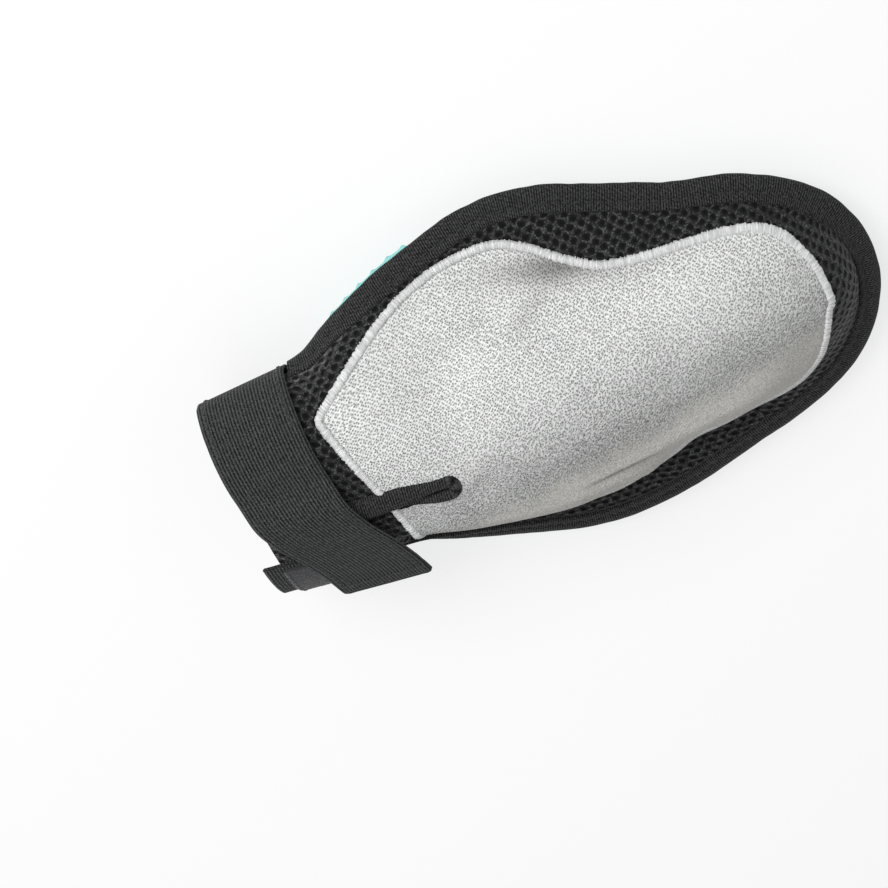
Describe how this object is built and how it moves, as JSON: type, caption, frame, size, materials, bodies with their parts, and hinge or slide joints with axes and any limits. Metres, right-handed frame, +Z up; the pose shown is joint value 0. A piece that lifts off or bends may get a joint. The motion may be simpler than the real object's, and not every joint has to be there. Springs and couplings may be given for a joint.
{
  "type": "pet grooming glove",
  "caption": "Double-sided pet grooming mitt: rubber nub pad on one face, velour hair-lifting patch on the other, taped edge and an elastic wrist strap with a touch fastener.",
  "frame": {"origin": "tip of a nub of the pad, on the surface the glove lies on", "axes": "+X from the wrist opening towards the fingertips, +Y across the hand towards the side with the sewn half of the strap, +Z up out of the velour side"},
  "size_m": [0.2522, 0.15, 0.063],
  "materials": {
    "front_mesh_panel": "knitted spacer mesh",
    "velour_patch": "short velour pile",
    "patch_satin_stitch": "satin stitch",
    "palm_lining": "woven",
    "nub_pad": "moulded matt",
    "edge_binding": "ribbed tape",
    "binding_stitching": "thread",
    "vent_binding": "ribbed tape",
    "vent_stitching": "thread",
    "wrist_strap": "ribbed elastic",
    "strap_stitching": "thread",
    "loop_patch": "looped pile",
    "loop_patch_stitching": "thread",
    "strap_free_end": "ribbed elastic",
    "free_end_stitching": "thread",
    "hook_patch": "moulded hooks",
    "hook_patch_stitching": "thread"
  },
  "bodies": {
    "glove": {"front_mesh_panel": "front_mesh_panel", "velour_patch": "velour_patch", "patch_satin_stitch": "patch_satin_stitch", "palm_lining": "palm_lining", "nub_pad": "nub_pad", "edge_binding": "edge_binding", "binding_stitching": "binding_stitching", "vent_binding": "vent_binding", "vent_stitching": "vent_stitching", "wrist_strap": "wrist_strap", "strap_stitching": "strap_stitching", "loop_patch": "loop_patch", "loop_patch_stitching": "loop_patch_stitching"},
    "strap_end": {"strap_free_end": "strap_free_end", "free_end_stitching": "free_end_stitching", "hook_patch": "hook_patch", "hook_patch_stitching": "hook_patch_stitching"}
  },
  "joints": [
    {"name": "strap_peel", "type": "hinge", "parent": "glove", "child": "strap_end", "pos_m": [-0.0555, 0.01648, 0.05531], "axis": [-0.9968, -0.0244, -0.0759], "range_deg": [0, 120]}
  ]
}
